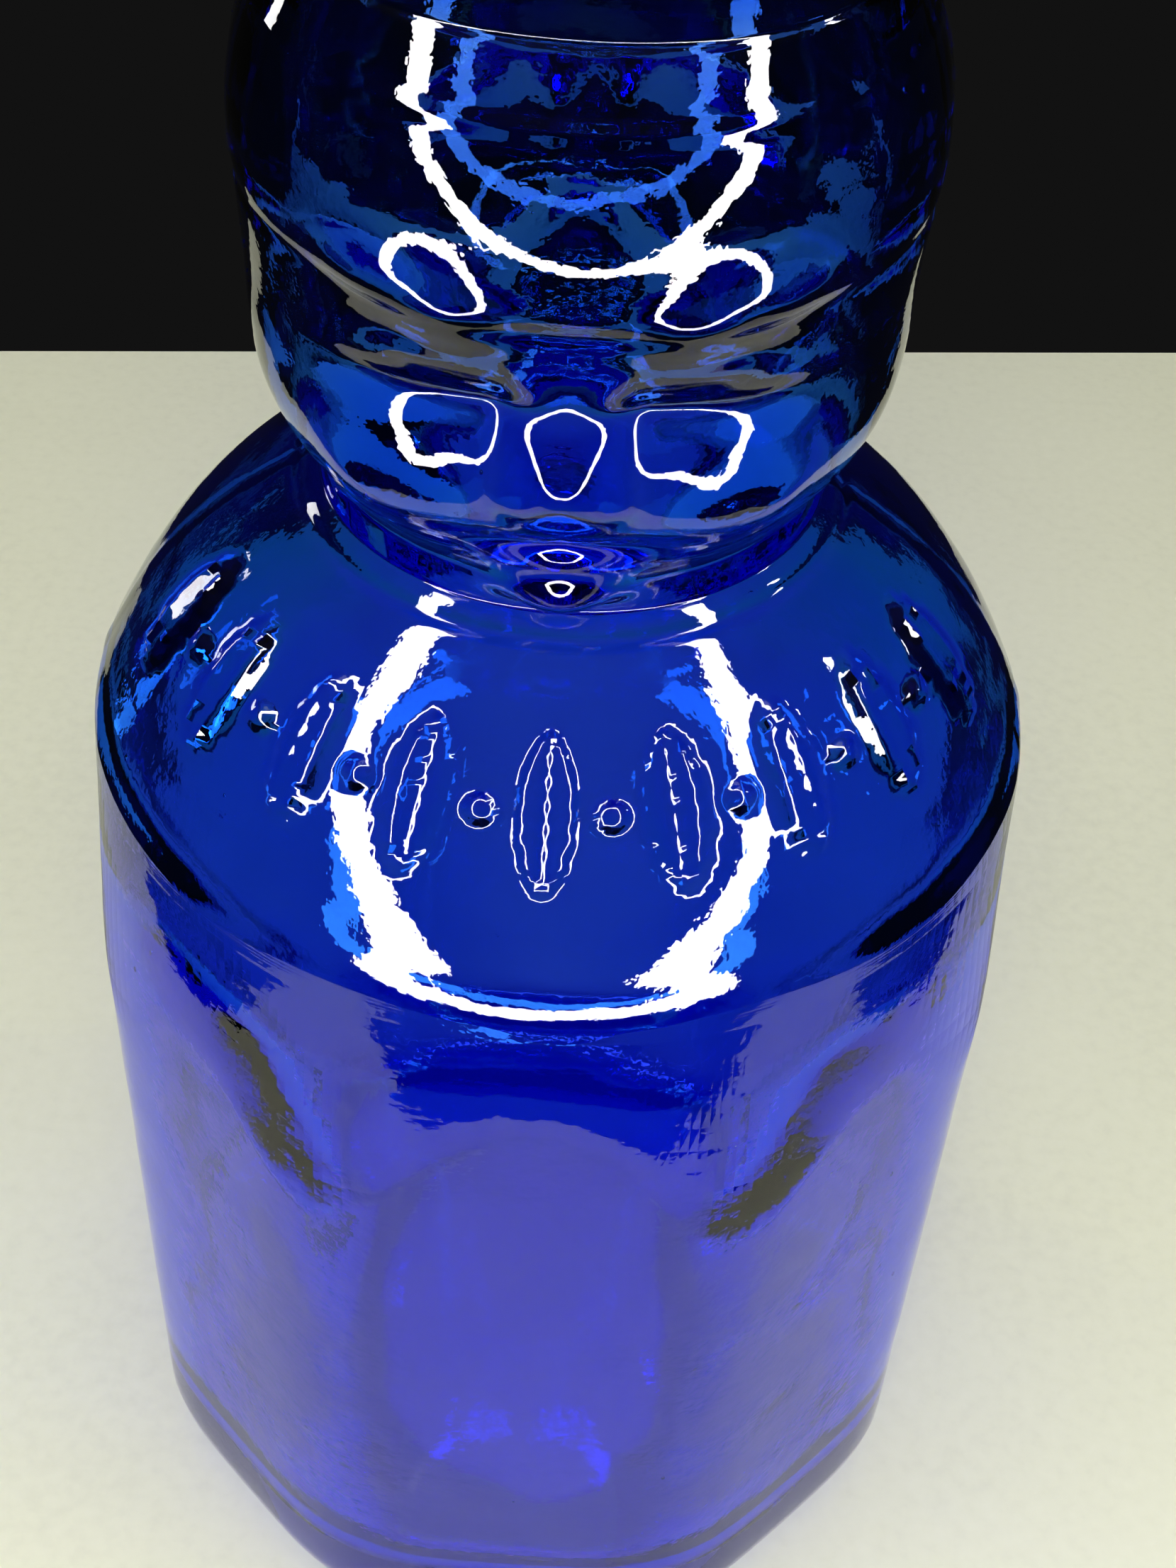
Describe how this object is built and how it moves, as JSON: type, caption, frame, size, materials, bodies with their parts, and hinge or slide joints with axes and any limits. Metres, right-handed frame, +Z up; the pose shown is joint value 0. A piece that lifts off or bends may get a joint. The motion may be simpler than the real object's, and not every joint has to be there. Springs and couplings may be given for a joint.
{
  "type": "milk bottle",
  "caption": "Square glass milk bottle whose neck is a moulded baby's head, closed by a round waxed board cap with a stapled pull tab.",
  "frame": {"origin": "centre of the bottle's base, on the surface it stands on", "axes": "+Z up along the bottle, the front face of the head looks toward -Y, +X is to the right of someone who looks at that face"},
  "size_m": [0.097, 0.097, 0.225],
  "materials": {
    "cobalt_glass": "deep cobalt blue pressed glass, glossy, slightly wavy",
    "waxed_board": "waxed cream pulp board",
    "tab_paper": "stiff manila paper, unprinted",
    "staple_steel": "bright round steel wire"
  },
  "bodies": {
    "bottle": {"glass_bottle": "cobalt_glass"},
    "cap": {"cap_disc": "waxed_board", "tab_root": "tab_paper", "tab_staple": "staple_steel"},
    "tab": {"pull_tab": "tab_paper"}
  },
  "joints": [
    {"name": "cap_lift", "type": "slide", "parent": "bottle", "child": "cap", "axis": [0, 0, 1], "range_m": [0, 0.04]},
    {"name": "tab_hinge", "type": "hinge", "parent": "cap", "child": "tab", "pos_m": [0, 0.0075, 0.22215], "axis": [-1, 0, 0], "range_deg": [0, 110]}
  ]
}
